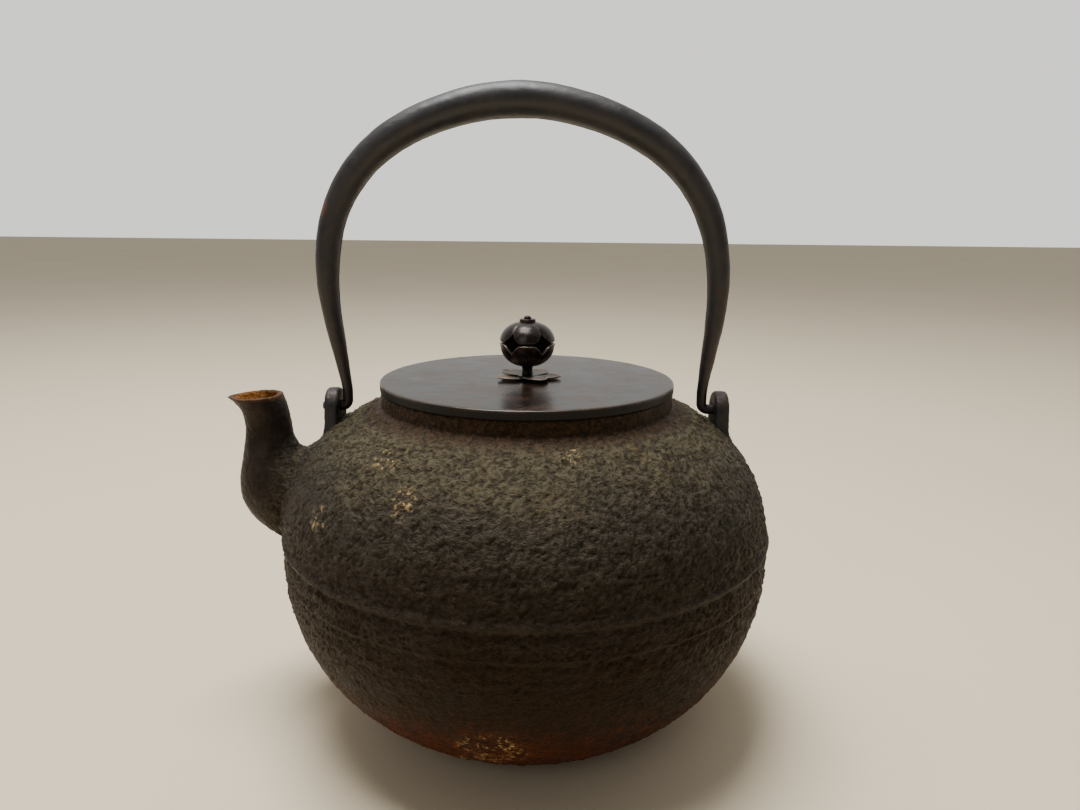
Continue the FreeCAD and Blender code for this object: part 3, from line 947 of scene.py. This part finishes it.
def make_lid():
    """The lid's plate, thick outside its skirt, the skirt, and the washer under the plate."""
    ceiling = lid_top - lid_centre_thickness
    step = skirt_outer + 0.05
    corners = [(pin_hole, lid_top), (lid_radius, lid_top), (lid_radius, rim_height),
               (step, rim_height), (step, ceiling), (pin_hole, ceiling)]
    loop = fill_in(round_corners(corners, 0.7, 5), 1.0)
    columns = 300
    points, normals = turned_points(loop + loop[:1], columns)
    points, normals = points[:-columns], normals[:-columns]
    radius = np.hypot(points[:, 0], points[:, 1])
    # where the painted highlight along the plate's top edge goes
    lit_edge = bell(radius, lid_radius - 0.2, 0.3) * ramp(points[:, 2], lid_top - 0.6, lid_top - 0.2)
    wear = 0.05 * rough(points, 15.0, 2, 51) + 0.02 * rough(points, 4.0, 2, 52)
    piece("lid_cast_plate", points + normals * wear[:, None],
          grid_faces(len(loop), columns, True), "lid", lid_bronze, ("lid_plate",),
          {"edge": lit_edge})
    skirt = round_corners([(skirt_inner, ceiling), (skirt_outer, ceiling),
                           (skirt_outer, skirt_low), (skirt_inner, skirt_low)], 0.4, 3)
    turned("lid_skirt_ring", fill_in(skirt, 1.2), 220, "lid", lid_bronze,
           ("lid_skirt",), worn=0.03)
    below = ceiling - under_washer_thickness
    washer = round_corners([(pin_hole, ceiling), (under_washer_radius, ceiling),
                            (under_washer_radius, below), (pin_hole, below)], 0.25, 3)
    turned("lid_seat_washer", washer, 64, "lid", fitting_copper,
           ("lid_under_washer",))


# ---- rosette and knob ----

def make_rosette():
    """Five cupped leaves with turned-up rims, round a low hub, under the knob's stem."""
    along, across = 26, 15
    points, faces, edge, inside = [], [], [], []
    for number, direction in enumerate(rosette_directions):
        heading = math.radians(direction)
        ahead = np.array((math.cos(heading), math.sin(heading), 0.0))
        aside = np.array((-ahead[1], ahead[0], 0.0))
        sheet = []
        for under in (0, 1):
            for i in range(along):
                s = i / (along - 1)
                width = rosette_half_width * math.sin(math.pi * min(1.0, 0.10 + 0.90 * s)) ** 0.75
                width = max(width, 0.15)
                reach = rosette_root + (rosette_radius - rosette_root) * s
                for j in range(across):
                    w = 2.0 * j / (across - 1) - 1.0
                    rim = max(abs(w) ** 3 * min(1.0, 3.0 * s), float(ramp(s, 0.84, 1.0)))
                    lift = 0.50 + 0.30 * s + 0.42 * rim + 0.30 * (number % 2)
                    lift -= 0.12 * math.exp(-(w / 0.14) ** 2) * math.sin(math.pi * s)
                    lift += 0.10 * math.sin(2.1 * number + 4.0 * s)
                    thick = leaf_thickness if under else 0.0
                    height = max(lid_top + lift - thick, lid_top + 0.03)
                    sheet.append(ahead * reach + aside * (w * width) + np.array((0, 0, height)))
                    edge.append(0.2 if under else 0.9 * rim ** 3)
                    inside.append(0.0 if under else (1.0 - rim) * min(1.0, 2.5 * s))
        start = len(points)
        points += sheet
        half = along * across
        for i in range(along - 1):
            for j in range(across - 1):
                a = start + i * across + j
                faces.append((a, a + across, a + across + 1, a + 1))
                b = a + half
                faces.append((b, b + 1, b + across + 1, b + across))
        loop = list(range(across))
        loop += [i * across + across - 1 for i in range(1, along)]
        loop += [(along - 1) * across + j for j in range(across - 2, -1, -1)]
        loop += [i * across for i in range(along - 2, 0, -1)]
        for a, b in zip(loop, loop[1:] + loop[:1]):
            faces.append((start + a, start + b, start + half + b, start + half + a))
    piece("rosette_leaves", np.array(points), faces, "lid", leaf_copper,
          ("knob_rosette",), {"edge": edge, "inside": inside})
    hub_top = lid_top + hub_height
    hub = round_corners([(pin_hole, hub_top), (hub_radius, hub_top), (hub_radius + 0.2, lid_top),
                         (pin_hole, lid_top)], 0.35, 4)
    turned("rosette_hub", hub, 72, "lid", leaf_copper, ("knob_rosette",))


def bud_point(angle, inset=0.0):
    """(r, z) on the bud's outline; angle runs from -90 degrees at the stem to 90 on top."""
    rise = knob_top - knob_equator if angle > 0 else knob_equator - knob_bottom
    r = (knob_radius - inset) * max(math.cos(angle), 0.0) ** (2.0 / knob_power)
    lift = (rise - inset) * abs(math.sin(angle)) ** (2.0 / knob_power)
    return r, knob_equator + math.copysign(lift, angle)


def bud_angle(z):
    """Angle of the bud's outline at height z."""
    rise = knob_top - knob_equator if z > knob_equator else knob_equator - knob_bottom
    share = min(abs(z - knob_equator) / rise, 1.0)
    return math.copysign(math.asin(share ** (knob_power / 2.0)), z - knob_equator)


def bud_shell(name, upward, node):
    """The five upper petals, or the five lobes of the calyx, as one scalloped shell."""
    columns, rows = 60 * petal_count, 44
    half_sector = 180.0 / petal_count
    gap = 0.12                # between the shells, where the petals meet the lobes
    end = math.radians(83.0 if upward else -80.0)
    points, edge = [], []
    for i in range(rows):
        for j in range(columns):
            azimuth = 360.0 * j / columns
            off = (azimuth + half_sector) % (2.0 * half_sector) - half_sector
            into = max(0.0, (abs(off) - (half_sector - window_half_angle)) / window_half_angle)
            cut = gap + window_rise * into ** 1.5
            start = bud_angle(shell_seam + (cut if upward else -cut))
            angle = start + (end - start) * (i / (rows - 1)) ** 1.6
            r, z = bud_point(angle)
            away = abs(start - angle) * knob_radius * 0.9
            crease = (abs(off) / half_sector) ** 7
            puff = 0.30 * (1.0 - (off / half_sector) ** 2) - 0.25 * crease
            fade = math.cos(angle) ** 0.5
            lip = math.exp(-((away - 0.38) / 0.2) ** 2)
            turn_in = 1.0 - math.sqrt(max(0.0, 1.0 - max(0.0, 1.0 - away / 0.45) ** 2))
            if upward:
                push = puff * fade - knob_shell * turn_in
            else:
                push = 0.6 * puff * fade + 0.22 * lip - (knob_shell + 0.1) * turn_in
            spin = math.radians(azimuth + knob_turn)
            points.append(((r + push) * math.cos(spin), (r + push) * math.sin(spin), z))
            # the edge mark carries the painted highlight on the rims
            edge.append(0.25 * lip if upward else lip)
    faces = grid_faces(rows, columns)
    if not upward:
        faces = [face[::-1] for face in faces]
    piece(name, points, faces, "knob", knob_bronze, (node,), {"edge": edge})


def make_knob():
    """The bud's two shells and its core, painted near black as the shade seen through the windows,
    with the washer, neck and pin that hold them.
    """
    bud_shell("knob_upper_petals", True, "knob_petals")
    bud_shell("knob_lower_lobes", False, "knob_calyx")
    core = [bud_point(math.radians(a), knob_shell) for a in np.linspace(-86.0, 86.0, 60)]
    turned("knob_inner_core", core, 96, "knob", knob_shade_black, ("knob_core",),
           closed=False)
    bore = pin_radius_in_knob
    washer = round_corners([(bore, cap_washer_high), (cap_washer_radius, cap_washer_high),
                            (cap_washer_radius, cap_washer_low), (bore, cap_washer_low)], 0.45, 5)
    turned("knob_cap_washer", washer, 60, "knob", fitting_copper,
           ("knob_top_washer",))
    stem = round_corners([(bore, 121.6), (2.1, 121.6), (1.75, 120.2), (1.75, 119.4),
                          (2.0, 118.15), (bore, 118.15)], 0.3, 4)
    turned("knob_neck", stem, 60, "knob", fitting_copper, ("knob_stem",))
    dome = [(1.2 * math.cos(t), 137.6 + 0.7 * math.sin(t)) for t in np.linspace(1.57, 0.0, 7)]
    rivet = dome + [(1.2, 120.0), (1.2, 113.2), (1.5, 113.05), (2.3, 113.0), (2.5, 112.7),
                    (2.2, 112.25), (1.2, 112.1), (0.0, 112.08)]
    turned("knob_rivet", rivet[::-1], 48, "knob", fitting_copper,
           ("knob_pin",), closed=False)


# ---- studio ----

def make_world():
    """Pale surroundings, seen evenly but lighting the object more from behind."""
    world = bpy.data.worlds.new("studio")
    world.use_nodes = True
    tree = world.node_tree
    heading = tree.nodes.new("ShaderNodeTexCoord")
    parts = tree.nodes.new("ShaderNodeSeparateXYZ")
    filled(parts, {0: heading.outputs["Generated"]})
    level = tree.nodes.new("ShaderNodeMapRange")
    level.interpolation_type = "SMOOTHSTEP"
    light = filled(level, {"Value": parts.outputs["Y"], "From Min": -0.5, "From Max": 0.7,
                           "To Min": sky_in_front, "To Max": sky_behind})
    path = tree.nodes.new("ShaderNodeLightPath")
    choice = tree.nodes.new("ShaderNodeMix")
    strength = filled(choice, {0: path.outputs["Is Camera Ray"], 2: light, 3: sky_seen})
    filled(tree.nodes["Background"], {"Color": colour(238, 237, 233), "Strength": strength})
    bpy.context.scene.world = world


def make_studio():
    """A plain pale floor and two soft lamps."""
    paint = Paint("studio_floor", roughness=0.8, specular=0.15)
    tone = paint.blend(paint.noise(300.0, 2.0), (226, 211, 184), (218, 202, 174))
    r = floor_reach
    corners = [(-r, -r, 0.0), (r, -r, 0.0), (r, r, 0.0), (-r, r, 0.0)]
    ground = bpy.data.meshes.new("studio_floor")
    ground.from_pydata(corners, [], [(0, 1, 2, 3)])
    ground.materials.append(paint.finish(tone))
    placed("studio_floor", ground)

    for name, place, size, power in lamps:
        lamp = bpy.data.lights.new(name, "AREA")
        lamp.shape = "SQUARE"
        lamp.size = size
        lamp.energy = power
        holder = placed(name, lamp)
        holder.location = place
        aim = Vector(lamp_aim) - Vector(place)
        holder.rotation_euler = aim.to_track_quat("-Z", "Y").to_euler()
    make_world()


def make_camera():
    """The camera, with a phone's main lens, a little above the lid and slightly rolled."""
    optics = bpy.data.cameras.new("camera")
    optics.sensor_width = sensor_width
    optics.lens = lens
    optics.clip_start = 0.01
    camera = placed("camera", optics)
    tilt = Matrix.Rotation(math.radians(90.0 - camera_pitch), 4, "X")
    roll = Matrix.Rotation(math.radians(camera_roll), 4, "Z")
    camera.matrix_world = Matrix.Translation(Vector(camera_place) * mm) @ tilt @ roll
    bpy.context.scene.camera = camera


make_vessel()
make_bore_wall()
make_spout()
make_lugs()
make_bail()
make_lid()
make_rosette()
make_knob()
make_studio()
make_camera()
